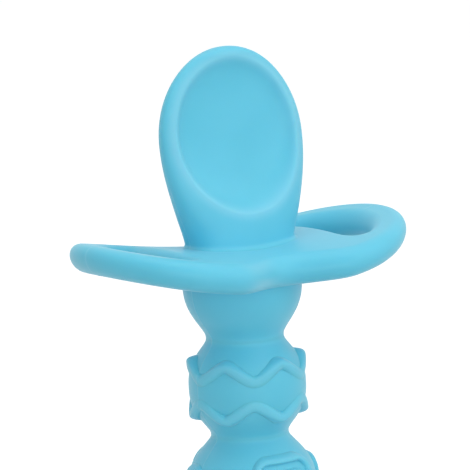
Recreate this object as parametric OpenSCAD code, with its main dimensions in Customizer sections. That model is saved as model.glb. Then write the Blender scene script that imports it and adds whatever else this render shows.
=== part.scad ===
// Self-feeding baby spoon: soft moulded spoon with a butterfly guard and a ridged handle.
// The handle stands on its flat end at z = 0, its axis is Z, and the dish faces -Y.

/* [Head] */
// Height of the head above the guard
head_l = 33.2; // [30:0.2:42]
// Width of the head where it meets the guard
head_base_w = 19.4; // [16:0.2:22]
// Greatest width of the head
head_w = 27.9; // [26.4:0.1:36]
// Thickness of the head where it meets the guard
head_base_t = 11; // [9:0.1:13]
// Thickness of the head at the middle of the dish
head_rim_t = 5.4; // [4.6:0.1:7]
// Thickness of the head near its tip
head_tip_t = 3; // [2.6:0.1:4]
// Distance that the tip leans back from the base
head_lean = 2.1; // [0:0.1:3]
// Length of the dish
dish_l = 25.2; // [20:0.2:26]
// Width of the dish
dish_w = 23.8; // [18:0.2:24]
// Depth of the dish
dish_depth = 2; // [0.8:0.1:2.4]
// Bare rim between the dish and the tip
dish_tip_gap = 2.1; // [1.8:0.1:3]

/* [Guard] */
// Span of the guard from wing tip to wing tip
guard_span = 60.2; // [57:0.2:70]
// Depth of a wing from front to back
wing_depth = 36.4; // [34:0.2:40]
// Depth of the guard at its waist
guard_waist_depth = 25.8; // [23:0.2:30]
// Thickness of the guard at its edges
guard_t = 4.8; // [4:0.1:6.5]
// Crown of the guard's top under the head, above its edges
guard_crown = 1.2; // [0.2:0.1:1.8]
// Height of the wing tips above the middle of the guard
guard_rise = 5; // [2:0.1:6]
// Rounding of the guard's outer edge in plan
guard_edge = 2.4; // [1.2:0.1:2.6]
// Width of a finger loop's opening across the wing
loop_w = 7.6; // [6:0.1:8]
// Length of a finger loop's opening from front to back
loop_l = 21; // [18:0.2:23]
// Bend of a finger loop's opening along the wing tip
loop_bend = 2.8; // [2:0.1:4]
// Width of the wing outside the finger loop
wing_rim_w = 5.9; // [5:0.1:7.4]
// Rounding of the loop's edge in plan
loop_edge = 1.9; // [0.8:0.1:2.2]

/* [Handle] */
// Radius of the handle at its waists
waist_r = 6.6; // [5.8:0.1:7.5]
// Radius of the neck under the guard
neck_r = 10; // [9:0.1:11]
// Length of the neck from the guard to the first waist
neck_l = 9.4; // [7:0.1:12]
// Radius of the bulb with the wavy ridges
zigzag_bulb_r = 9.85; // [9:0.05:11.5]
// Length of the bulb with the wavy ridges
zigzag_bulb_l = 16.4; // [14:0.2:20]
// Radius of the bulb with the square ridges
square_bulb_r = 10.8; // [9.6:0.1:12.5]
// Length of the bulb with the square ridges
square_bulb_l = 18; // [16.4:0.2:24]
// Radius of the end bulb
end_bulb_r = 11; // [9.6:0.1:12.5]
// Length of the end bulb from its waist to its widest place
end_bulb_l = 9.6; // [8:0.2:13]
// Length of the rounded end below that place
end_round_l = 12.6; // [11:0.2:16]
// Radius of the flat that the spoon stands on
end_flat_r = 5.5; // [4:0.1:7]

/* [Ridges] */
// Height of the square ridges and the rings above their bulbs
ridge_h = 0.7; // [0.4:0.05:0.9]
// Height of the wavy ridges above the widest place of their bulb
wave_h = 0.2; // [0.1:0.05:0.5]
// Width of the wavy ridges and the rings
ridge_w = 1.5; // [1.2:0.05:2]
// Width of the square ridges
square_ridge_w = 1.25; // [1:0.05:1.5]
// Distance between the middles of the two wavy ridges
zigzag_gap = 6.6; // [5.4:0.1:7.6]
// Travel of a wavy ridge from its low to its high points
zigzag_wave = 2.5; // [1.4:0.1:2.8]
// Number of waves round the bulb
zigzag_waves = 6; // [4:1:8]
// Turn of the upper wavy ridge's high points from the front, in degrees
upper_turn = 4; // [-15:1:15]
// Turn of the lower wavy ridge's low points from the front, in degrees
lower_turn = 2; // [-15:1:15]
// Width of the large square ridge round the bulb
square_w = 11.4; // [9.6:0.1:12]
// Height of the large square ridge
square_l = 11.4; // [9.6:0.1:12]
// Corner radius of the large square ridge
square_corner = 2.4; // [2:0.1:3.2]
// Space between the large square ridge and the small one
square_inset = 2.4; // [2.1:0.1:2.5]
// Width of the ridge at the side of the bulb
side_w = 5.2; // [4.6:0.1:5.6]
// Height of the ridge at the side of the bulb
side_l = 8; // [6:0.1:9]
// Distance between the rings round the end bulb
ring_gap = 4.2; // [3:0.1:5]
// Number of rings round the end bulb
ring_count = 3; // [1:1:3]

/* [Core] */
// Radius of the core's rod
core_r = 2.5; // [2:0.1:3]
// Radius of the core's collars
collar_r = 4.2; // [3.6:0.1:4.8]
// Length of the core's collars
collar_l = 4; // [2:0.1:6]
// Distance from the standing end to the core
core_end_gap = 7; // [5:0.1:9]
// Width of the tongue in the head
tongue_w = 9; // [7:0.1:11]
// Thickness of the tongue
tongue_t = 3; // [2:0.1:4]
// Height of the tongue above the guard
tongue_l = 5; // [3.8:0.1:5.6]
// Radius of the keying hole through the tongue
key_r = 1.4; // [0.8:0.1:1.7]

/* [Hidden] */

// Clearance between a ridge and its bulb, and between the core and the silicone
seat = 0.03;
// Overrun of a cut
cut = 0.5;

// Heights of the joints between the sections, from the standing end
end_wide_z = end_round_l;
waist3_z = end_wide_z + end_bulb_l;
square_mid_z = waist3_z + square_bulb_l / 2;
waist2_z = waist3_z + square_bulb_l;
zigzag_mid_z = waist2_z + zigzag_bulb_l / 2;
waist1_z = waist2_z + zigzag_bulb_l;
guard_under_z = waist1_z + neck_l;
guard_mid_z = guard_under_z + guard_t / 2;
guard_top_z = guard_under_z + guard_t + guard_crown;

// Shape of a bulb and of the neck: powers of the curve from the widest place to the waist
bulb_power = 2.6;
bulb_flank = 1.6;
neck_power = 2.5;
neck_flank = 1.65;
end_power = 2.4;
profile_steps = 16;

function bulb_radius(wide_r, u) =
    waist_r + (wide_r - waist_r) * pow(1 - pow(min(1, abs(u)), bulb_power), bulb_flank);
function neck_radius(u) = waist_r + (neck_r - waist_r) * pow(1 - pow(u, neck_power), neck_flank);
function end_radius(u) = end_flat_r + (end_bulb_r - end_flat_r) * pow(1 - pow(u, end_power), 1 / end_power);
function square_bulb_radius(z) = bulb_radius(square_bulb_r, (z - square_mid_z) / (square_bulb_l / 2));
function zigzag_bulb_radius(z) = bulb_radius(zigzag_bulb_r, (z - zigzag_mid_z) / (zigzag_bulb_l / 2));
function end_bulb_radius(z) = z > end_wide_z
    ? bulb_radius(end_bulb_r, (z - end_wide_z) / end_bulb_l)
    : end_radius((end_wide_z - z) / end_round_l);

// A ring of section points, joined to the next ring by triangles
function strip(a, b, i, j) = [[a + i, b + i, b + j], [a + i, b + j, a + j]];
function flipped(faces) = [for (f = faces) [f[2], f[1], f[0]]];

// Core: the bore for its rod runs past the neck's top by the overrun
module core_rod(extra = 0, overrun = 0) {
    translate([0, 0, core_end_gap - extra])
        cylinder(r = core_r + extra, h = guard_under_z - core_end_gap + extra + overrun, $fn = 64);
    for (z = [end_wide_z, square_mid_z, zigzag_mid_z])
        translate([0, 0, z - collar_l / 2 - extra])
            cylinder(r = collar_r + extra, h = collar_l + 2 * extra, $fn = 64);
}

module core_tongue(extra = 0) {
    difference() {
        translate([-tongue_w / 2 - extra, -tongue_t / 2 - extra, guard_under_z])
            cube([tongue_w + 2 * extra, tongue_t + 2 * extra,
                  guard_top_z - guard_under_z + tongue_l + extra]);
        translate([0, tongue_t / 2 + cut, guard_top_z + tongue_l / 2])
            rotate([90, 0, 0]) cylinder(r = key_r - extra, h = tongue_t + 2 * cut, $fn = 48);
    }
}

module stiffening_core() {
    color("ghostwhite") {
        core_rod();
        core_tongue();
        // Root that joins the tongue to the rod
        translate([0, 0, guard_under_z]) cube([tongue_t / 2, tongue_t / 2, 2 * cut], center = true);
    }
}

// Head
base_half_w = head_base_w / 2;
half_w = head_w / 2;
dish_mid_h = head_l - dish_tip_gap - dish_l / 2;
// Height of the widest place, how the sides swell and how flat the sections are
swell_power = 1.25;
wide_share = 0.528;
section_power = 2.6;
dish_wall_share = 0.26;
// Shares of the head's height between which it leans back
lean_from_share = 0.12;
lean_to_share = 0.93;
base_fade_share = 0.62;
head_rings_low = 12;
head_rings_high = 16;
head_sides = 56;
wide_h = head_l * wide_share;
tip_round = head_tip_t / 2;

function ease(t) = let (c = max(0, min(1, t))) c * c * (3 - 2 * c);
function head_half_w(h) = h < wide_h
    ? base_half_w + (half_w - base_half_w) * pow(sin(90 * h / wide_h), swell_power)
    : half_w * sqrt(max(0, 1 - pow((h - wide_h) / (head_l - wide_h), 2)));
function head_mid_y(h) = head_lean * ease((h / head_l - lean_from_share) / (lean_to_share - lean_from_share));
function head_half_t(h) =
    let (fade = pow(cos(90 * min(1, h / (head_l * base_fade_share))), 2),
         thin = head_rim_t + (head_tip_t - head_rim_t) * ease((h - wide_h) / (head_l - wide_h)),
         over = max(0, h - (head_l - tip_round)) / tip_round)
    (thin + (head_base_t - head_rim_t) * fade) / 2 * sqrt(max(0, 1 - over * over));
function dish_fall(x, h) =
    let (q = norm([x / (dish_w / 2), (h - dish_mid_h) / (dish_l / 2)]))
    dish_depth * (1 - ease((q - 1 + dish_wall_share) / dish_wall_share));
function head_point(h, turn) =
    let (c = cos(turn), s = sin(turn),
         x = head_half_w(h) * sign(c) * pow(abs(c), 2 / section_power),
         t = head_half_t(h) * sign(s) * pow(abs(s), 2 / section_power))
    [x, head_mid_y(h) + t + (s < 0 ? dish_fall(x, h) : 0), guard_top_z + h];

module head_body() {
    heights = [for (i = [0 : head_rings_low - 1]) wide_h * i / head_rings_low,
               for (i = [0 : head_rings_high - 1])
                   wide_h + (head_l - wide_h) * sin(90 * i / head_rings_high)];
    rings = len(heights);
    n = head_sides;
    points = [for (h = heights) for (k = [0 : n - 1]) head_point(h, 360 * k / n),
              [0, head_mid_y(head_l), guard_top_z + head_l]];
    side = [for (r = [0 : rings - 2]) for (k = [0 : n - 1])
                for (f = strip(r * n, (r + 1) * n, k, (k + 1) % n)) f];
    tip = [for (k = [0 : n - 1]) [(rings - 1) * n + k, rings * n, (rings - 1) * n + (k + 1) % n]];
    base = [[for (k = [0 : n - 1]) k]];
    polyhedron(points = points, faces = concat(side, tip, base), convexity = 6);
}

module spoon_head() {
    color("skyblue") difference() {
        head_body();
        core_tongue(seat);
    }
}

// Guard
half_span = guard_span / 2;
lobe_r = wing_depth / 2;
lobe_x = half_span - lobe_r;
half_waist = guard_waist_depth / 2;
half_t = guard_t / 2;
loop_x = half_span - wing_rim_w - loop_w / 2;
// The guard is flat where the head stands and curves up towards the wing tips
flat_x = max(head_base_w / 2, neck_r) + seat;
rise_power = 1.1;
loop_roundness = 0.95;
loop_turn = 112;
waist_columns = 8;
lobe_columns = 30;
inner_columns = 10;
edge_steps = 6;

// Share of the crown: whole where the head stands and a little past it, none at the guard's edge
crown_past_share = 0.03;
crown_flat_share = crown_past_share
    + max(base_half_w / half_span, head_base_t / 2 / half_waist);
function crown_share(x, y) =
    let (e = norm([x / half_span, y / (abs(x) < lobe_x ? waist_half(abs(x)) : lobe_r)]))
    1 - ease((e - crown_flat_share) / (1 - crown_flat_share));
function guard_z(x) =
    guard_mid_z + guard_rise * pow(max(0, abs(x) - flat_x) / (half_span - flat_x), rise_power);
function waist_half(x) = half_waist + (lobe_r - half_waist) * (1 - cos(180 * x / lobe_x)) / 2;
function waist_slope(x) = (lobe_r - half_waist) * sin(180 * x / lobe_x) * PI / (2 * lobe_x);
function loop_edge_point(turn) =
    let (c = cos(turn), s = sin(turn))
    [loop_x - loop_bend * s * s + loop_w / 2 * sign(c) * pow(abs(c), loop_roundness), loop_l / 2 * s];
function unit(v) = v / norm(v);

// Each column of the wing: outline point, outward direction, and turn round the loop
function column(kind, i, side) =
    kind == "waist"
        ? let (x = lobe_x * i / waist_columns)
          [[x, side * waist_half(x)], unit([-waist_slope(x), side]),
           side * (loop_turn + (90 - loop_turn) * i / waist_columns)]
        : kind == "lobe"
        ? let (a = -90 + 180 * i / lobe_columns)
          [[lobe_x + lobe_r * cos(a), lobe_r * sin(a)], [cos(a), sin(a)], a]
        : let (t = i / inner_columns)
          [[0, (half_waist - guard_edge) * (1 - 2 * t)], [0, 0], loop_turn + (360 - 2 * loop_turn) * t];

wing_columns = concat([for (i = [0 : waist_columns - 1]) column("waist", i, -1)],
                      [for (i = [0 : lobe_columns]) column("lobe", i, 1)],
                      [for (i = [waist_columns - 1 : -1 : 0]) column("waist", i, 1)],
                      [for (i = [1 : inner_columns - 1]) column("inner", i, 1)]);
full_columns = 2 * waist_columns + lobe_columns + 1;

// Outward direction from the loop, found from its neighbours on the loop's edge
function loop_normal(turn) =
    let (d = loop_edge_point(turn + 1) - loop_edge_point(turn - 1))
    unit([d[1], -d[0]]);
function at_height(p, share) =
    [p[0], p[1], guard_z(p[0]) + half_t * share + guard_crown * crown_share(p[0], p[1]) * max(0, share)];
function wing_section(c) =
    let (loop = loop_edge_point(c[2]), away = loop_normal(c[2]),
         outer_in = c[0] - c[1] * guard_edge, loop_out = loop + away * loop_edge)
    concat([for (k = [0 : edge_steps]) let (f = -90 + 180 * k / edge_steps)
                at_height(c[0] - c[1] * guard_edge * (1 - cos(f)), sin(f))],
           [for (t = [1 / 3, 2 / 3]) at_height(outer_in + (loop_out - outer_in) * t, 1)],
           [for (k = [0 : edge_steps]) let (f = 90 - 180 * k / edge_steps)
                at_height(loop + away * loop_edge * (1 - cos(f)), sin(f))],
           [for (t = [2 / 3, 1 / 3]) at_height(outer_in + (loop_out - outer_in) * t, -1)]);

module guard_body() {
    sections = [for (c = wing_columns) wing_section(c)];
    n = len(sections[0]);
    m = len(sections);
    right = [for (s = sections) for (p = s) p];
    left = [for (p = right) [-p[0], p[1], p[2]]];
    // Points on the middle plane belong to both wings
    seam = [for (i = [0 : len(right) - 1]) right[i][0] == 0 ? i : i + len(right)];
    quads = [for (i = [0 : m - 1]) for (j = [0 : n - 1])
                 if (i < full_columns - 1 || j >= edge_steps)
                     for (f = strip(i * n, (i + 1) % m * n, j, (j + 1) % n)) f];
    mirrored = [for (f = quads) [for (v = f) seam[v]]];
    polyhedron(points = concat(right, left), faces = concat(flipped(quads), mirrored), convexity = 8);
}

module mouth_guard() {
    color("deepskyblue") difference() {
        guard_body();
        translate([-tongue_w / 2 - seat, -tongue_t / 2 - seat, guard_under_z - cut])
            cube([tongue_w + 2 * seat, tongue_t + 2 * seat, guard_top_z - guard_under_z + 2 * cut]);
    }
}

// Handle
module turned(points, from_z, to_z) {
    difference() {
        rotate_extrude($fn = 96) polygon(concat([[0, from_z]], points, [[0, to_z]]));
        core_rod(seat, cut);
    }
}

module handle_neck() {
    color("skyblue")
        turned([for (i = [0 : profile_steps]) let (u = 1 - i / profile_steps)
                    [neck_radius(u), guard_under_z - neck_l * u]],
               waist1_z, guard_under_z);
}

module zigzag_bulb() {
    color("lightskyblue")
        turned([for (i = [0 : 2 * profile_steps]) let (z = waist2_z + zigzag_bulb_l * i / (2 * profile_steps))
                    [zigzag_bulb_radius(z), z]], waist2_z, waist1_z);
}

module square_bulb() {
    color("skyblue")
        turned([for (i = [0 : 2 * profile_steps]) let (z = waist3_z + square_bulb_l * i / (2 * profile_steps))
                    [square_bulb_radius(z), z]], waist3_z, waist2_z);
}

module end_bulb() {
    color("lightskyblue")
        turned([for (i = [0 : profile_steps]) let (z = end_round_l * (1 - cos(90 * i / profile_steps)))
                    [end_bulb_radius(z), z],
                for (i = [1 : profile_steps]) let (z = end_wide_z + end_bulb_l * i / profile_steps)
                    [end_bulb_radius(z), z]],
               0, waist3_z);
}

// Ridges: a path round a bulb, given as [turn, z], swept with a low rounded section
section_steps = 7;

// A point over the bulb, lifted by a share of the ridge's height. The wavy ridges' crests lie at one radius.
function on_bulb(kind, turn, z, share) =
    let (bulb_r = kind == "square" ? square_bulb_radius(z) : zigzag_bulb_radius(z),
         height = kind == "square" ? ridge_h : zigzag_bulb_r + wave_h - bulb_r,
         r = bulb_r + seat + height * share)
    [r * sin(turn), -r * cos(turn), z];
// Across the path: the section stands on the bulb and crowns over it
function ridge_section(kind, wide_r, width, p, across) =
    concat([for (k = [0 : section_steps])
                let (f = 180 * k / section_steps, off = -cos(f) * width / 2)
                on_bulb(kind, p[0] + across[0] * off / wide_r * 180 / PI, p[1] + across[1] * off, sin(f))],
           [on_bulb(kind, p[0], p[1], 0)]);

module ridge_loop(kind, wide_r, width, path) {
    m = len(path);
    scale_r = wide_r * PI / 180;
    directions = [for (i = [0 : m - 1])
                      let (a = path[(i + m - 1) % m], b = path[(i + 1) % m],
                           turn = b[0] - a[0], d = [turn < -180 ? turn + 360 : turn, 0])
                      unit([(b[1] - a[1]), -d[0] * scale_r])];
    sections = [for (i = [0 : m - 1]) ridge_section(kind, wide_r, width, path[i], directions[i])];
    n = len(sections[0]);
    points = [for (s = sections) for (p = s) p];
    faces = [for (i = [0 : m - 1]) for (j = [0 : n - 1])
                 for (f = strip(i * n, (i + 1) % m * n, j, (j + 1) % n)) f];
    polyhedron(points = points, faces = faces, convexity = 8);
}

zigzag_rings = 72;

module zigzag(side) {
    mid_z = zigzag_mid_z + side * zigzag_gap / 2;
    start = side > 0 ? upper_turn : lower_turn;
    ridge_loop("zigzag", zigzag_bulb_r, ridge_w,
               [for (i = [0 : zigzag_rings - 1]) let (turn = 360 * i / zigzag_rings)
                    [turn, mid_z + side * zigzag_wave / 2 * cos(zigzag_waves * (turn - start))]]);
}

module zigzag_ridge_upper() {
    color("paleturquoise") zigzag(1);
}

module zigzag_ridge_lower() {
    color("paleturquoise") zigzag(-1);
}

// Turn of the ridge at the side, from the middle of the large square
side_turn = 78;
corner_steps = 5;
edge_parts = 4;

// A square with round corners on the bulb, as a path of [turn, z]
function square_path(mid_turn, w, l, r) =
    let (degrees = 180 / PI / square_bulb_r,
         corners = [[1, 1, 0], [-1, 1, 90], [-1, -1, 180], [1, -1, 270]],
         flat = [for (c = [0 : 3]) for (k = [0 : corner_steps])
                     let (q = corners[c], a = q[2] + 90 * k / corner_steps)
                     [q[0] * (w / 2 - r) + r * cos(a), q[1] * (l / 2 - r) + r * sin(a)]],
         m = len(flat))
    [for (i = [0 : m - 1])
         let (a = flat[i], b = flat[(i + 1) % m],
              parts = (i % (corner_steps + 1) == corner_steps) ? edge_parts : 1)
         for (k = [0 : parts - 1])
             let (p = a + (b - a) * k / parts)
             [mid_turn + p[0] * degrees, square_mid_z + p[1]]];

module square_ridges() {
    color("paleturquoise")
        for (half = [0, 180]) {
            ridge_loop("square", square_bulb_r, square_ridge_w,
                       square_path(half, square_w, square_l, square_corner));
            ridge_loop("square", square_bulb_r, square_ridge_w,
                       square_path(half, square_w - 2 * square_inset, square_l - 2 * square_inset,
                                   square_corner - square_inset / 2));
            ridge_loop("square", square_bulb_r, square_ridge_w,
                       square_path(half + side_turn, side_w, side_l, side_w / 2 - square_ridge_w / 2));
        }
}

module ring_ridges() {
    color("paleturquoise")
        for (i = [0 : ring_count - 1]) {
            z = end_wide_z + (i - (ring_count - 1) / 2) * ring_gap;
            rotate_extrude($fn = 96)
                polygon([for (k = [0 : section_steps])
                             let (f = 180 * k / section_steps, y = z - cos(f) * ridge_w / 2)
                             [end_bulb_radius(y) + seat + ridge_h * sin(f), y]]);
        }
}

stiffening_core();
spoon_head();
mouth_guard();
handle_neck();
zigzag_bulb();
zigzag_ridge_upper();
zigzag_ridge_lower();
square_bulb();
square_ridges();
end_bulb();
ring_ridges();
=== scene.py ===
"""Looks of the baby spoon: moulded silicone skins over the CAD sections, a white studio and the camera."""

import bpy
import numpy as np
from mathutils import Matrix, Vector


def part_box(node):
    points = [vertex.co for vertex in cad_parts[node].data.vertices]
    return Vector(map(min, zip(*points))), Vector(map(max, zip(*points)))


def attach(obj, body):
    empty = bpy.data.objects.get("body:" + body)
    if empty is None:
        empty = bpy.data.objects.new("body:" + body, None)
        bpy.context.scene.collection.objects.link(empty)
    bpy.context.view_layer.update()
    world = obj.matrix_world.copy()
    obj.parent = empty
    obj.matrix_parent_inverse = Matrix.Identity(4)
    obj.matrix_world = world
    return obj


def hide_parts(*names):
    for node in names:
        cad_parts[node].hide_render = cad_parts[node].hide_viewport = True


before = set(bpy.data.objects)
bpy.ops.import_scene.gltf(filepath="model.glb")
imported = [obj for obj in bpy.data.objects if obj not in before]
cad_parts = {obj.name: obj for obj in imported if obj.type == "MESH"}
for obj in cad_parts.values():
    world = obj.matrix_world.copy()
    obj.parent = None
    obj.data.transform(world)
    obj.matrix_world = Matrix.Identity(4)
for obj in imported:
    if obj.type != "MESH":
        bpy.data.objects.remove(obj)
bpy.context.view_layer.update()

MM = 0.001
TINY = 1e-6


# Levels of the sections, read from the CAD frame, in mm
def levels(node):
    low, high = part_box(node)
    return low.z / MM, high.z / MM


WAIST_3 = levels("end_bulb")[1]
WAIST_2 = levels("square_bulb")[1]
WAIST_1 = levels("zigzag_bulb")[1]
GUARD_UNDER = levels("handle_neck")[1]
GUARD_TOP, TIP = levels("spoon_head")
HALF_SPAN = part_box("mouth_guard")[1].x / MM
ZIGZAG_MID = (WAIST_1 + WAIST_2) / 2
SQUARE_MID = (WAIST_2 + WAIST_3) / 2

# Handle, in mm
WAIST_R = 6.22
WAIST_ROUNDING = 0.33
NECK_R = 10.0
ZIGZAG_R = 9.85
SQUARE_R = 10.8
END_R = 11.0
END_FLAT_R = 5.5
END_WIDE = 12.6
NECK_BURIED = 1.4
BULB_POWERS = (2.6, 1.45)
NECK_POWERS = (2.5, 1.48)
END_POWER = 2.4

# Ridges, in mm and degrees
RIDGE_HALF_W = 1.08
SQUARE_HALF_W = 0.75
RIDGE_H = 0.65
RIDGE_POWERS = (2.6, 0.8)
# Painted highlight: how much paler the ridges' crests are
RIDGE_HIGHLIGHT_SHARE = 0.55
RIDGE_SUNK = 0.12
WAVE_CREST_R = 10.05
WAVE_GAP = 6.6
WAVE_TRAVEL = 2.5
WAVES = 6
WAVE_TURNS = {1: 4, -1: 2}
WAVE_SHARPNESS = 0.75
SQUARE_SIZE = 11.4
SQUARE_CORNER = 2.4
SQUARE_INSET = 2.4
SQUARE_LEVELLING = 0.15
SIDE_SIZE = (5.2, 8.0)
SIDE_TURN = 78
RING_GAP = 4.2
RING_COUNT = 3

# Parting line of the mould, in the plane y = 0 and along the head's edge, in mm
SEAM_H = 0.07
SEAM_HALF_W = 0.13
SEAM_COLUMNS = (-0.3, -0.2, -0.13, -0.065, 0.0, 0.065, 0.13, 0.2, 0.3)
SEAM_COLUMNS_R = 10
SEAM_CLEAR_TURN = 0.05

# Head, in mm
HEAD_L = TIP - GUARD_TOP
HEAD_BASE_HALF_W = 9.7
HEAD_HALF_W = 13.88
HEAD_WIDE_SHARE = 0.54
HEAD_WIDE_H = HEAD_L * HEAD_WIDE_SHARE
HEAD_SWELL = 1.25
HEAD_SECTION = 2.6
HEAD_LEAN = 1.85
HEAD_LEAN_FROM = 0.12
HEAD_LEAN_TO = 0.93
HEAD_BASE_HALF_T = 5.5
HEAD_MID_HALF_T = 3.0
HEAD_TIP_HALF_T = 1.5
HEAD_BASE_FADE = 0.62
HEAD_FILLET = 0.8
HEAD_END_FILLET_SHARE = 0.6
HEAD_FOOT_H = 6
HEAD_BURIED = 0.4
HEAD_BURIED_FLARE = 0.15
HEAD_SEAM_FADE_HALF_W = 3

# Dish, in mm
DISH_HALF_L = 12.43
DISH_HALF_W = 11.65
DISH_TIP_GAP = 2.1
DISH_MID_H = HEAD_L - DISH_TIP_GAP - DISH_HALF_L
DISH_FLOOR = 0.1
DISH_WALL_POWER = 9
DISH_SOFT_SHARE = 0.12
DISH_LOW_SOFT_SHARE = 0.35
DISH_CREST = 0.7
DISH_LOW_CREST = 0.7
DISH_LEAST_HALF_T = 0.5

# Painted highlight: a paler band beside the dish's edge, in mm
CREST_HIGHLIGHT_SHARE = 1.35
CREST_HIGHLIGHT_HALF_W = 0.9
CREST_HIGHLIGHT_OUT = 0.5

# Guard, in mm and degrees
GUARD_T = 4.8
GUARD_MID = GUARD_UNDER + GUARD_T / 2
GUARD_CROWN = 1.42
GUARD_CROWN_POWER = 2.2
GUARD_RISE = 5.2
GUARD_RISE_POWER = 1.8
BACK_DIP = 0.6
BACK_DIP_HALF_W = 19
WING_R = 18.2
WING_MID_X = HALF_SPAN - WING_R
HALF_WAIST = 12.9
GUARD_EDGE = 2.4
LOOP_X = 20.2
LOOP_HALF_W = 3.8
LOOP_HALF_L = 10.5
LOOP_BEND = 2.9
LOOP_ROUNDNESS = 0.97
LOOP_EDGE = 2.0
LOOP_TURN = 112
LOOP_STEP_TURN = 0.5

# Fineness of the meshes
HANDLE_COLUMNS = 240
BULB_ROWS = 160
NECK_ROWS = 90
RIDGE_STEPS = 22
WAVE_STEPS = 432
RING_STEPS = 240
SQUARE_CORNER_STEPS = 13
SQUARE_STEP_L = 0.3
HEAD_COLUMNS = 320
HEAD_FILLET_ROWS = 9
HEAD_SIDE_ROWS = 100
HEAD_TOP_ROWS = 110
WING_WAIST_SECTIONS = 50
WING_LOBE_SECTIONS = 151
WING_INNER_SECTIONS = 62
WING_EDGE_STEPS = 14
WING_ACROSS_STEPS = 26

# Finishes. Each mesh's attribute mixes in the silicone's paler colour: along the parting line, and as
# painted highlights beside the dish's edge and on the ridges' crests
SILICONE_FINISH = {
    "Roughness": 0.44,
    "IOR": 1.41,
    "Specular IOR Level": 0.5,
    "Subsurface Weight": 0.25,
    "Subsurface Radius": (0.25, 0.7, 1.0),
    "Subsurface Scale": 0.0012,
    "Sheen Weight": 0.12,
    "Sheen Roughness": 0.5,
}
SILICONE_COLOURS = ((0.11, 0.572, 0.757, 1), (0.124, 0.597, 0.787, 1))
SILICONE_DRIFT = {"Scale": 90, "Detail": 3}
SILICONE_DRIFT_STOPS = (0.3, 0.7)
SEAM_AND_HIGHLIGHT_COLOUR = (0.4, 0.76, 0.91, 1)
SEAM_AND_HIGHLIGHT_MIX = 0.2
GRAIN = {"Scale": 2600, "Detail": 4}
GRAIN_BUMP = {"Strength": 0.12, "Distance": 0.00008}
CORE_FINISH = {"Roughness": 0.45}
CORE_COLOURS = ((0.74, 0.76, 0.78, 1), (0.8, 0.81, 0.83, 1))
CORE_DRIFT = {"Scale": 120}
CORE_DRIFT_STOPS = (0, 1)

# Camera, at the photograph's angle. Its lens gives PIXELS_PER_M at the object
AZIMUTH, ELEVATION, ROLL = np.radians([-33.5, 8.5, 3.0])
DISTANCE = 0.55
PIXELS_PER_M = 6000
FRAME_PIXELS = 470
SENSOR_W = 36
CLIP_START, CLIP_END = 0.01, 20
AIM_HEIGHT = 0.071
AIM_RIGHT, AIM_UP = -0.0009, 0.00264

# Studio, in metres and watts: each lamp's name, place, size and power
LAMPS = (
    ("overhead", (0.0, -0.05, 0.85), (0.7, 0.7), 1.62),
    ("front", (-0.3, -0.75, 0.14), (1.0, 0.26), 1.48),
    ("key", (0.38, -0.6, 0.58), (0.8, 0.8), 1.38),
)
LAMP_TARGET = (0, 0, 0.07)
WORLD_LIGHT = 0.64
WORLD_SEEN = 1.0
FLOOR_COLOUR = (0.62, 0.62, 0.62, 1)
FLOOR_GLOW = 0.6
FLOOR_REACH = 6
FLOOR_GAP = 0.00005


# Meshes
def seam_share(distance):
    """1 on the parting line, 0 beside it."""
    return np.exp(-((distance / SEAM_HALF_W) ** 2))


def smooth(t):
    t = np.clip(t, 0, 1)
    return t * t * (3 - 2 * t)


def grid_faces(rows, cols, closed_rows=False):
    """Quads between rings of points. Each ring is closed."""
    r = np.arange(rows if closed_rows else rows - 1)[:, None]
    c = np.arange(cols)[None, :]
    nxt_r = (r + 1) % rows
    nxt_c = (c + 1) % cols
    corners = (r * cols + c, r * cols + nxt_c, nxt_r * cols + nxt_c, nxt_r * cols + c)
    return np.stack(corners, axis=-1).reshape(-1, 4).tolist()


def add_skin(name, points, faces, seam_and_highlight, caps=()):
    """A smooth closed mesh from points in mm. Caps are flat faces, given as lists of points."""
    mesh = bpy.data.meshes.new(name)
    mesh.from_pydata((np.asarray(points) * MM).tolist(), [], faces + [list(c) for c in caps])
    shaded_smooth = np.ones(len(mesh.polygons), dtype=bool)
    if caps:
        shaded_smooth[-len(caps):] = False
    mesh.polygons.foreach_set("use_smooth", shaded_smooth)
    layer = mesh.attributes.new("seam_and_highlight", "FLOAT", "POINT")
    layer.data.foreach_set("value", np.asarray(seam_and_highlight, dtype=np.float32))
    mesh.update()
    piece = bpy.data.objects.new(name, mesh)
    bpy.context.scene.collection.objects.link(piece)
    return piece


# Handle: radius at a height, all in mm
def swell(wide_r, u, powers):
    """Radius from the widest place, at u = 0, to the rounded waist, at u = 1."""
    power, flank = powers
    rise = (wide_r - WAIST_R) * (1 - np.clip(np.abs(u), 0, 1) ** power) ** flank
    return WAIST_R + np.hypot(rise, WAIST_ROUNDING)


def bulb_radius(wide_r, u):
    return swell(wide_r, u, BULB_POWERS)


def neck_radius(z):
    return swell(NECK_R, np.clip((GUARD_UNDER - z) / (GUARD_UNDER - WAIST_1), 0, 1), NECK_POWERS)


def zigzag_radius(z):
    return bulb_radius(ZIGZAG_R, (z - ZIGZAG_MID) / ((WAIST_1 - WAIST_2) / 2))


def square_radius(z):
    return bulb_radius(SQUARE_R, (z - SQUARE_MID) / ((WAIST_2 - WAIST_3) / 2))


def end_radius(z):
    above = bulb_radius(END_R, (z - END_WIDE) / (WAIST_3 - END_WIDE))
    u = np.clip((END_WIDE - z) / END_WIDE, 0, 1)
    below = END_FLAT_R + (END_R - END_FLAT_R) * (1 - u**END_POWER) ** (1 / END_POWER)
    return np.where(z > END_WIDE, above, below)


def turns():
    """Turns round the handle, closer together at the two parting lines."""
    even = np.linspace(0, 2 * np.pi, HANDLE_COLUMNS, endpoint=False)
    sides = (np.pi / 2, 3 * np.pi / 2)
    apart = np.min([np.abs(even - s) for s in sides], axis=0)
    even = even[apart > SEAM_CLEAR_TURN]
    fine = [s + d / SEAM_COLUMNS_R for s in sides for d in SEAM_COLUMNS]
    return np.sort(np.concatenate([even, fine]))


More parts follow.
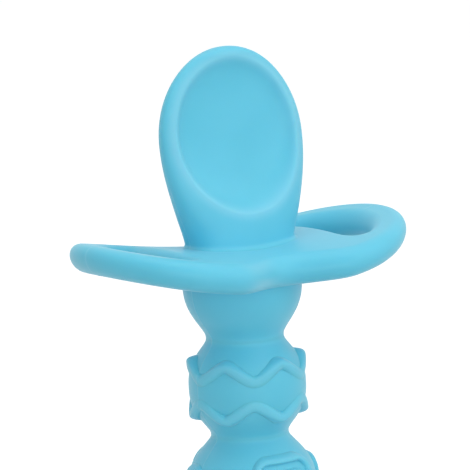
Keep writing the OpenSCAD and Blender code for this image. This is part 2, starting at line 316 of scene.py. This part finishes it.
def handle_skin(name, radius, heights):
    """A turned section with the mould's parting line standing proud of it."""
    turn = turns()
    r = radius(heights)[:, None]
    distance = r * np.cos(turn)[None, :]
    seam = seam_share(distance)
    r = r + SEAM_H * seam
    x, y = r * np.sin(turn), -r * np.cos(turn)
    z = np.broadcast_to(heights[:, None], x.shape)
    points = np.stack([x, y, z], axis=-1).reshape(-1, 3)
    n, last = len(turn), len(heights) - 1
    caps = (range(n - 1, -1, -1), range(last * n, last * n + n))
    return add_skin(name, points, grid_faces(len(heights), n), seam.ravel(), caps)


def eased(low, high, count):
    """Heights from low to high, closer together at both ends."""
    return (low + high) / 2 - (high - low) / 2 * np.cos(np.linspace(0, np.pi, count))


# Ridges: a path of turns and heights, swept with a low rounded section
def ridge_skin(name, radius, crest, half_w, paths):
    f = np.sin(np.linspace(-np.pi / 2, np.pi / 2, RIDGE_STEPS + 1))
    off = f * half_w
    power, flank = RIDGE_POWERS
    lift = (1 - np.abs(f) ** power) ** flank
    points, seam_and_highlight, faces = [], [], []
    for path in paths:
        ahead, behind = np.roll(path, -1, axis=0), np.roll(path, 1, axis=0)
        step = ahead - behind
        step[:, 0] = (step[:, 0] + np.pi) % (2 * np.pi) - np.pi
        r = radius(path[:, 1])
        across = np.stack([step[:, 1], -step[:, 0] * r], axis=1)
        across /= np.linalg.norm(across, axis=1)[:, None]
        turn = path[:, 0, None] + across[:, 0, None] * off / r[:, None]
        z = path[:, 1, None] + across[:, 1, None] * off
        foot = radius(z) - RIDGE_SUNK
        top = crest(z)
        seam = seam_share(top * np.cos(turn))
        out = foot + (top - foot) * lift + SEAM_H * seam * lift
        first = sum(len(p) for p in points)
        shape = np.stack([out * np.sin(turn), -out * np.cos(turn), z], axis=-1).reshape(-1, 3)
        points.append(shape)
        # Paler along the parting line, and a painted highlight along each ridge's crest
        seam_and_highlight.append(((seam + RIDGE_HIGHLIGHT_SHARE * lift) * lift).ravel())
        quads = grid_faces(len(path), RIDGE_STEPS + 1, closed_rows=True)
        faces += [[v + first for v in q] for q in quads]
    return add_skin(name, np.concatenate(points), faces, np.concatenate(seam_and_highlight))


def wave_path(side):
    turn = np.linspace(0, 2 * np.pi, WAVE_STEPS, endpoint=False)
    phase = np.radians(WAVE_TURNS[side])
    wave = np.arcsin(WAVE_SHARPNESS * np.cos(WAVES * (turn - phase))) / np.arcsin(WAVE_SHARPNESS)
    mid = ZIGZAG_MID + side * WAVE_GAP / 2
    return np.stack([turn, mid + side * WAVE_TRAVEL / 2 * wave], axis=1)


def square_path(turn, width, height, corner):
    """A rounded square on the bulb, as turns and heights."""
    points = []
    for sx, sz, start in ((1, 1, 0), (-1, 1, 90), (-1, -1, 180), (1, -1, 270)):
        a = np.radians(np.linspace(start, start + 90, SQUARE_CORNER_STEPS))
        cx, cz = sx * (width / 2 - corner), sz * (height / 2 - corner)
        points.append(np.stack([cx + corner * np.cos(a), cz + corner * np.sin(a)], axis=1))
    corners = np.concatenate(points)
    dense = []
    for a, b in zip(corners, np.roll(corners, -1, axis=0)):
        parts = max(1, int(np.linalg.norm(b - a) / SQUARE_STEP_L))
        dense.append(a + (b - a) * (np.arange(parts) / parts)[:, None])
    flat = np.concatenate(dense)
    return np.stack([turn + flat[:, 0] / SQUARE_R, SQUARE_MID + flat[:, 1]], axis=1)


def ring_path(z):
    turn = np.linspace(0, 2 * np.pi, RING_STEPS, endpoint=False)
    return np.stack([turn, np.full_like(turn, z)], axis=1)


def level_crest(z):
    return np.full_like(z, WAVE_CREST_R)


def square_crest(z):
    return square_radius(z) + RIDGE_H + SQUARE_LEVELLING * (SQUARE_R - square_radius(z))


def ring_crest(z):
    return end_radius(z) + RIDGE_H


# Guard: two mirrored wings of closed sections, each from the outline to the finger loop
def guard_rise(x, y):
    """Rise of the wings, less a slight dip at the back of the guard's middle."""
    rise = GUARD_RISE * (np.abs(x) / HALF_SPAN) ** GUARD_RISE_POWER
    return rise - BACK_DIP * smooth(y / HALF_WAIST) * (1 - smooth(np.abs(x) / BACK_DIP_HALF_W))


def guard_half_depth(x):
    """Half the guard's depth from front to back."""
    x = np.abs(x)
    swing = (1 - np.cos(np.pi * np.minimum(x, WING_MID_X) / WING_MID_X)) / 2
    waist = HALF_WAIST + (WING_R - HALF_WAIST) * swing
    lobe = np.sqrt(np.clip(WING_R**2 - (x - WING_MID_X) ** 2, TINY, None))
    return np.where(x < WING_MID_X, waist, lobe)


def guard_crown(x, y):
    """Height of the domed top above the guard's edges."""
    across = np.clip(1 - (y / guard_half_depth(x)) ** 2, 0, 1)
    return GUARD_CROWN * across * np.clip(1 - (x / HALF_SPAN) ** 2, 0, 1) ** GUARD_CROWN_POWER


def guard_top(x, y):
    return GUARD_MID + GUARD_T / 2 + guard_rise(x, y) + guard_crown(x, y)


def wing_sections():
    """Outline point, outward direction and turn round the finger loop of each section of the right wing."""
    x = np.linspace(0, WING_MID_X, WING_WAIST_SECTIONS, endpoint=False)
    half = guard_half_depth(x)
    slope = (WING_R - HALF_WAIST) * np.sin(np.pi * x / WING_MID_X) * np.pi / (2 * WING_MID_X)
    turn = LOOP_TURN + (90 - LOOP_TURN) * x / WING_MID_X
    size = np.hypot(slope, 1)
    front = (np.stack([x, -half], 1), np.stack([-slope / size, -1 / size], 1), -turn)
    rear = (np.stack([x, half], 1)[::-1], np.stack([-slope / size, 1 / size], 1)[::-1], turn[::-1])
    a = np.radians(np.linspace(-90, 90, WING_LOBE_SECTIONS))
    ring = np.stack([np.cos(a), np.sin(a)], 1)
    lobe = (ring * WING_R + [WING_MID_X, 0], ring, np.degrees(a))
    t = np.linspace(0, 1, WING_INNER_SECTIONS)[1:-1]
    y = (HALF_WAIST - GUARD_EDGE) * (1 - 2 * t)
    inner = (np.stack([0 * y, y], 1), np.zeros((len(t), 2)), LOOP_TURN + (360 - 2 * LOOP_TURN) * t)
    with_edge = 2 * len(x) + len(a)
    return [np.concatenate(p) for p in zip(front, lobe, rear, inner)] + [with_edge]


def loop_outline(turn):
    c, s = np.cos(np.radians(turn)), np.sin(np.radians(turn))
    x = LOOP_X - LOOP_BEND * s * s + LOOP_HALF_W * np.sign(c) * np.abs(c) ** LOOP_ROUNDNESS
    return np.stack([x, LOOP_HALF_L * s], axis=-1)


def guard_skin():
    plan, outward, turn, with_edge = wing_sections()
    loop = loop_outline(turn)
    step = loop_outline(turn + LOOP_STEP_TURN) - loop_outline(turn - LOOP_STEP_TURN)
    away = np.stack([step[:, 1], -step[:, 0]], 1)
    away /= np.linalg.norm(away, axis=1)[:, None]
    inside = plan - outward * GUARD_EDGE
    rim = loop + away * LOOP_EDGE
    round_edge = np.radians(np.linspace(-90, 90, WING_EDGE_STEPS + 1))
    across = np.linspace(0, 1, WING_ACROSS_STEPS)[1:-1]
    # Places in plan round each section, with 1 on its top, -1 on its underside and shares between
    columns = []
    for f in round_edge:
        columns.append((plan - outward * GUARD_EDGE * (1 - np.cos(f)), np.sin(f)))
    for t in across:
        columns.append((inside + (rim - inside) * t, 1.0))
    for f in round_edge[::-1]:
        columns.append((loop + away * LOOP_EDGE * (1 - np.cos(f)), np.sin(f)))
    for t in across[::-1]:
        columns.append((inside + (rim - inside) * t, -1.0))
    xy = np.stack([c[0] for c in columns], axis=1)
    share = np.array([c[1] for c in columns])[None, :]
    z = GUARD_MID + guard_rise(xy[..., 0], xy[..., 1]) + share * GUARD_T / 2
    z = z + guard_crown(xy[..., 0], xy[..., 1]) * np.maximum(share, 0)
    rows, cols = z.shape
    right = np.concatenate([xy, z[..., None]], axis=-1).reshape(-1, 3)
    left = right * [-1, 1, 1]
    quads = np.array(grid_faces(rows, cols, closed_rows=True)).reshape(rows, cols, 4)
    # The sections on the middle plane have no outer edge of their own
    keep = np.ones((rows, cols), dtype=bool)
    keep[with_edge - 1:, :WING_EDGE_STEPS] = False
    quads = quads[keep]
    shared = np.abs(right[:, 0]) < TINY
    index = np.arange(len(right))
    mirror = np.where(shared, index, index + len(right))
    points = np.concatenate([right, left])
    faces = quads.tolist() + mirror[quads][:, ::-1].tolist()
    # The parting line runs over the outer edges and the top, but not underneath or inside the loops
    seam = seam_share(points[:, 1])
    outside = np.arange(cols) < WING_EDGE_STEPS + WING_ACROSS_STEPS
    seam *= np.tile(np.broadcast_to(outside, (rows, cols)).ravel(), 2)
    # It stands proud of the faces, and on the round edges it is colour alone
    on_face = np.tile(np.broadcast_to(np.abs(share) > 1 - TINY, (rows, cols)).ravel(), 2)
    above = points[:, 2] - GUARD_MID - guard_rise(points[:, 0], points[:, 1])
    points[:, 2] += SEAM_H * seam * np.sign(above) * on_face
    return add_skin("guard_skin", points, faces, seam)


# Head: sections stacked upward, flattened ovals with a dish let into the front
def head_half_w(h):
    growth = np.sin(np.pi / 2 * np.clip(h / HEAD_WIDE_H, 0, 1)) ** HEAD_SWELL
    low = HEAD_BASE_HALF_W + (HEAD_HALF_W - HEAD_BASE_HALF_W) * growth
    high = HEAD_HALF_W * np.sqrt(np.clip(1 - ((h - HEAD_WIDE_H) / (HEAD_L - HEAD_WIDE_H)) ** 2, 0, 1))
    return np.where(h < HEAD_WIDE_H, low, high)


def head_mid_y(h):
    return HEAD_LEAN * smooth((h / HEAD_L - HEAD_LEAN_FROM) / (HEAD_LEAN_TO - HEAD_LEAN_FROM))


def head_half_t(h):
    fade = np.cos(np.pi / 2 * np.clip(h / (HEAD_L * HEAD_BASE_FADE), 0, 1)) ** 2
    thinning = smooth((h - HEAD_WIDE_H) / (HEAD_L - HEAD_WIDE_H))
    thin = HEAD_MID_HALF_T + (HEAD_TIP_HALF_T - HEAD_MID_HALF_T) * thinning
    over = np.clip((h - (HEAD_L - HEAD_TIP_HALF_T)) / HEAD_TIP_HALF_T, 0, 1)
    return (thin + (HEAD_BASE_HALF_T - HEAD_MID_HALF_T) * fade) * np.sqrt(1 - over**2)


def front_depth(x, h):
    """How far the front lies before the head's middle surface, without the dish."""
    share = np.clip(np.abs(x) / np.maximum(head_half_w(h), TINY), 0, 1)
    return head_half_t(h) * (1 - share**HEAD_SECTION) ** (1 / HEAD_SECTION)


def dish_depth_at(x, h):
    """How far the dish lies before the head's middle surface. Beyond its edge it runs on forward."""
    u, v = x / DISH_HALF_W, (h - DISH_MID_H) / DISH_HALF_L
    q = np.maximum(np.hypot(u, v), TINY)
    rim = front_depth(DISH_HALF_W * u / q, DISH_MID_H + DISH_HALF_L * v / q)
    soft = DISH_SOFT_SHARE + DISH_LOW_SOFT_SHARE * smooth(-v / q)
    grow = soft * q**2 + (1 - soft) * q**DISH_WALL_POWER
    return DISH_FLOOR + (rim - DISH_FLOOR) * grow


def dish_crest(x, h):
    """How widely the dish's edge is rounded, more so at its lower end."""
    return DISH_CREST + DISH_LOW_CREST * smooth((DISH_MID_H - h) / DISH_HALF_L)


def crest_highlight(x, h):
    """Painted highlight: how much paler the band beside the dish's edge is."""
    gap = (np.hypot(x / DISH_HALF_W, (h - DISH_MID_H) / DISH_HALF_L) - 1) * DISH_HALF_W - CREST_HIGHLIGHT_OUT
    return CREST_HIGHLIGHT_SHARE * np.exp(-((gap / CREST_HIGHLIGHT_HALF_W) ** 2))


def soft_min(a, b, width):
    """The smaller of two numbers, rounded where they cross."""
    share = np.clip(0.5 + 0.5 * (b - a) / width, 0, 1)
    return b + (a - b) * share - width * share * (1 - share)


def head_skin():
    fillet = np.linspace(0, np.pi / 2, HEAD_FILLET_ROWS)
    foot = HEAD_FILLET * (1 - np.cos(fillet))
    flare = HEAD_FILLET * (1 - np.sin(fillet))
    sides = np.linspace(HEAD_FILLET, HEAD_WIDE_H, HEAD_SIDE_ROWS)[1:]
    rounding = np.sin(np.linspace(0, np.pi / 2, HEAD_TOP_ROWS))[1:-1]
    top = HEAD_WIDE_H + HEAD_L * (1 - HEAD_WIDE_SHARE) * rounding
    heights = np.concatenate([[-HEAD_BURIED], foot, sides, top])
    flares = np.concatenate([[HEAD_FILLET + HEAD_BURIED_FLARE], flare, np.zeros(len(sides) + len(top))])
    rows, cols = len(heights), HEAD_COLUMNS
    turn = np.linspace(0, 2 * np.pi, cols, endpoint=False)
    c, s = np.cos(turn), np.sin(turn)
    h = np.maximum(heights, 0)[:, None]
    x = head_half_w(h) * np.sign(c) * np.abs(c) ** (2 / HEAD_SECTION)
    t = head_half_t(h) * np.abs(s) ** (2 / HEAD_SECTION)
    dish = soft_min(t, dish_depth_at(x, h), dish_crest(x, h))
    dish = np.where(t > DISH_LEAST_HALF_T, dish, t)
    y = head_mid_y(h) + np.where(s < 0, -dish, t)
    # Outward directions in plan, for the fillet and the parting line
    dx = np.roll(x, -1, axis=1) - np.roll(x, 1, axis=1)
    dy = np.roll(y, -1, axis=1) - np.roll(y, 1, axis=1)
    size = np.hypot(dx, dy)
    out_x, out_y = dy / size, -dx / size
    seam = seam_share(t * np.sign(s)) * smooth(head_half_w(h) / HEAD_SEAM_FADE_HALF_W)
    end = HEAD_END_FILLET_SHARE + (1 - HEAD_END_FILLET_SHARE) * np.abs(out_y)
    grow = flares[:, None] * end + SEAM_H * seam
    x, y = x + out_x * grow, y + out_y * grow
    # The foot follows the guard's domed top
    z = GUARD_TOP + heights[:, None] + (guard_top(x, y) - GUARD_TOP) * (1 - smooth(h / HEAD_FOOT_H))
    points = np.stack([x, y, np.broadcast_to(z, x.shape)], axis=-1).reshape(-1, 3)
    points = np.concatenate([points, [[0, head_mid_y(HEAD_L), TIP]]])
    last = (rows - 1) * cols
    tip = [[last + k, last + (k + 1) % cols, rows * cols] for k in range(cols)]
    faces = grid_faces(rows, cols) + tip
    # Paler along the parting line, and on the front a painted highlight in a band beside the dish's edge
    seam_and_highlight = seam + np.where(s < 0, crest_highlight(x, h), 0)
    return add_skin("head_skin", points, faces, np.append(seam_and_highlight.ravel(), 0), caps=[range(cols - 1, -1, -1)])


# Materials
def set_inputs(node, values):
    for name, value in values.items():
        node.inputs[name].default_value = value


def drifting_material(name, finish, drift_values, stops, colours):
    """A material, its object coordinates, and a colour that drifts between two."""
    material = bpy.data.materials.new(name)
    material.use_nodes = True
    nodes, links = material.node_tree.nodes, material.node_tree.links
    set_inputs(nodes["Principled BSDF"], finish)
    coordinates = nodes.new("ShaderNodeTexCoord").outputs["Object"]
    drift = nodes.new("ShaderNodeTexNoise")
    set_inputs(drift, drift_values)
    links.new(coordinates, drift.inputs["Vector"])
    ramp = nodes.new("ShaderNodeValToRGB")
    for element, stop, colour in zip(ramp.color_ramp.elements, stops, colours):
        element.position = stop
        element.color = colour
    links.new(drift.outputs["Fac"], ramp.inputs["Fac"])
    return material, coordinates, ramp.outputs["Color"]


def silicone():
    material, coordinates, colour = drifting_material(
        "silicone_skin", SILICONE_FINISH, SILICONE_DRIFT, SILICONE_DRIFT_STOPS, SILICONE_COLOURS
    )
    nodes, links = material.node_tree.nodes, material.node_tree.links
    shader = nodes["Principled BSDF"]
    # Mixes in the paler colour: along the parting line, and as painted highlights beside the dish's edge
    # and on the ridges' crests
    seam_and_highlight = nodes.new("ShaderNodeAttribute")
    seam_and_highlight.attribute_name = "seam_and_highlight"
    share = nodes.new("ShaderNodeMath")
    share.operation = "MULTIPLY"
    share.inputs[1].default_value = SEAM_AND_HIGHLIGHT_MIX
    links.new(seam_and_highlight.outputs["Fac"], share.inputs[0])
    mix = nodes.new("ShaderNodeMix")
    mix.data_type = "RGBA"
    mix.inputs["B"].default_value = SEAM_AND_HIGHLIGHT_COLOUR
    links.new(share.outputs[0], mix.inputs["Factor"])
    links.new(colour, mix.inputs["A"])
    links.new(mix.outputs["Result"], shader.inputs["Base Color"])
    grain = nodes.new("ShaderNodeTexNoise")
    set_inputs(grain, GRAIN)
    links.new(coordinates, grain.inputs["Vector"])
    bump = nodes.new("ShaderNodeBump")
    set_inputs(bump, GRAIN_BUMP)
    links.new(grain.outputs["Fac"], bump.inputs["Height"])
    links.new(bump.outputs["Normal"], shader.inputs["Normal"])
    return material


def core_plastic():
    material, _, colour = drifting_material(
        "core_plastic", CORE_FINISH, CORE_DRIFT, CORE_DRIFT_STOPS, CORE_COLOURS
    )
    shader = material.node_tree.nodes["Principled BSDF"]
    material.node_tree.links.new(colour, shader.inputs["Base Color"])
    return material


def seen_directly(tree):
    """1 for rays from the camera and for those that gloss and glass send on, else 0."""
    path = tree.nodes.new("ShaderNodeLightPath")
    found = path.outputs["Is Camera Ray"]
    for ray in ("Is Glossy Ray", "Is Transmission Ray"):
        either = tree.nodes.new("ShaderNodeMath")
        either.operation = "MAXIMUM"
        tree.links.new(found, either.inputs[0])
        tree.links.new(path.outputs[ray], either.inputs[1])
        found = either.outputs[0]
    return found


def studio_white():
    """Diffuse white that keeps its shadows, and is brighter to look at than as light on the object."""
    material = bpy.data.materials.new("studio_white")
    material.use_nodes = True
    nodes, links = material.node_tree.nodes, material.node_tree.links
    nodes.remove(nodes["Principled BSDF"])
    diffuse = nodes.new("ShaderNodeBsdfDiffuse")
    diffuse.inputs["Color"].default_value = FLOOR_COLOUR
    glow = nodes.new("ShaderNodeEmission")
    strength = nodes.new("ShaderNodeMath")
    strength.operation = "MULTIPLY"
    strength.inputs[1].default_value = FLOOR_GLOW
    links.new(seen_directly(material.node_tree), strength.inputs[0])
    links.new(strength.outputs[0], glow.inputs["Strength"])
    both = nodes.new("ShaderNodeAddShader")
    links.new(diffuse.outputs[0], both.inputs[0])
    links.new(glow.outputs[0], both.inputs[1])
    links.new(both.outputs[0], nodes["Material Output"].inputs["Surface"])
    return material


# Pieces
SILICONE = silicone()


def place(piece, *nodes):
    """Gives the piece its material in a slot, hangs it under the root body and hides the CAD nodes that it
    takes the place of.
    """
    piece.data.materials.append(SILICONE)
    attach(piece, "root")
    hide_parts(*nodes)


place(head_skin(), "spoon_head")
place(guard_skin(), "mouth_guard")
neck_heights = eased(WAIST_1, GUARD_UNDER + NECK_BURIED, NECK_ROWS)
place(handle_skin("neck_skin", neck_radius, neck_heights), "handle_neck")
place(handle_skin("zigzag_bulb_skin", zigzag_radius, eased(WAIST_2, WAIST_1, BULB_ROWS)), "zigzag_bulb")
place(handle_skin("square_bulb_skin", square_radius, eased(WAIST_3, WAIST_2, BULB_ROWS)), "square_bulb")
place(handle_skin("end_bulb_skin", end_radius, eased(0.0, WAIST_3, BULB_ROWS)), "end_bulb")

for side, name in ((1, "zigzag_ridge_upper"), (-1, "zigzag_ridge_lower")):
    place(ridge_skin(name + "_skin", zigzag_radius, level_crest, RIDGE_HALF_W, [wave_path(side)]), name)

squares = []
small = SQUARE_SIZE - 2 * SQUARE_INSET
for front in (0, np.pi):
    squares.append(square_path(front, SQUARE_SIZE, SQUARE_SIZE, SQUARE_CORNER))
    squares.append(square_path(front, small, small, SQUARE_CORNER - SQUARE_INSET / 2))
    squares.append(square_path(front + np.radians(SIDE_TURN), *SIDE_SIZE, SIDE_SIZE[0] / 2 - SQUARE_HALF_W))
square_ridges = ridge_skin("square_ridges_skin", square_radius, square_crest, SQUARE_HALF_W, squares)
place(square_ridges, "square_ridges")

rings = [ring_path(END_WIDE + (i - (RING_COUNT - 1) / 2) * RING_GAP) for i in range(RING_COUNT)]
place(ridge_skin("ring_ridges_skin", end_radius, ring_crest, RIDGE_HALF_W, rings), "ring_ridges")

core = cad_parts["stiffening_core"]
core.data.materials.clear()
core.data.materials.append(core_plastic())

# Camera
level_back = Vector((np.sin(AZIMUTH) * np.cos(ELEVATION), -np.cos(AZIMUTH) * np.cos(ELEVATION), 0))
back = level_back + Vector((0, 0, np.sin(ELEVATION)))
level_right = Vector((np.cos(AZIMUTH), np.sin(AZIMUTH), 0))
level_up = back.cross(level_right)
right = level_right * np.cos(ROLL) - level_up * np.sin(ROLL)
up = level_right * np.sin(ROLL) + level_up * np.cos(ROLL)
camera_data = bpy.data.cameras.new("camera")
camera_data.sensor_width = SENSOR_W
camera_data.lens = SENSOR_W * DISTANCE * PIXELS_PER_M / FRAME_PIXELS
camera_data.clip_start, camera_data.clip_end = CLIP_START, CLIP_END
camera = bpy.data.objects.new("camera", camera_data)
bpy.context.scene.collection.objects.link(camera)
aim = Vector((0, 0, AIM_HEIGHT)) + right * AIM_RIGHT + up * AIM_UP
turned = Matrix((right, up, back)).transposed().to_4x4()
camera.matrix_world = Matrix.Translation(aim + back * DISTANCE) @ turned
bpy.context.scene.camera = camera

# Lamps
for name, location, size, power in LAMPS:
    lamp_data = bpy.data.lights.new(name, "AREA")
    lamp_data.shape = "ELLIPSE"
    lamp_data.size, lamp_data.size_y = size
    lamp_data.energy = power
    lamp = bpy.data.objects.new(name, lamp_data)
    lamp.location = location
    lamp.rotation_mode = "QUATERNION"
    lamp.rotation_quaternion = (Vector(location) - Vector(LAMP_TARGET)).to_track_quat("Z", "Y")
    bpy.context.scene.collection.objects.link(lamp)

# The floor lies a hair under the flat end, so that the two never flicker
corners = [(x * FLOOR_REACH, y * FLOOR_REACH, -FLOOR_GAP) for x, y in ((-1, -1), (1, -1), (1, 1), (-1, 1))]
floor_mesh = bpy.data.meshes.new("floor")
floor_mesh.from_pydata(corners, [], [(0, 1, 2, 3)])
floor = bpy.data.objects.new("floor", floor_mesh)
floor_mesh.materials.append(studio_white())
bpy.context.scene.collection.objects.link(floor)

# World
world = bpy.data.worlds.new("studio")
bpy.context.scene.world = world
world.use_nodes = True
sky = world.node_tree.nodes["Background"]
level = world.node_tree.nodes.new("ShaderNodeMix")
level.inputs["A"].default_value = WORLD_LIGHT
level.inputs["B"].default_value = WORLD_SEEN
world.node_tree.links.new(seen_directly(world.node_tree), level.inputs["Factor"])
world.node_tree.links.new(level.outputs["Result"], sky.inputs["Strength"])
sky.inputs["Color"].default_value = (1, 1, 1, 1)

bpy.context.scene.view_settings.view_transform = "Standard"
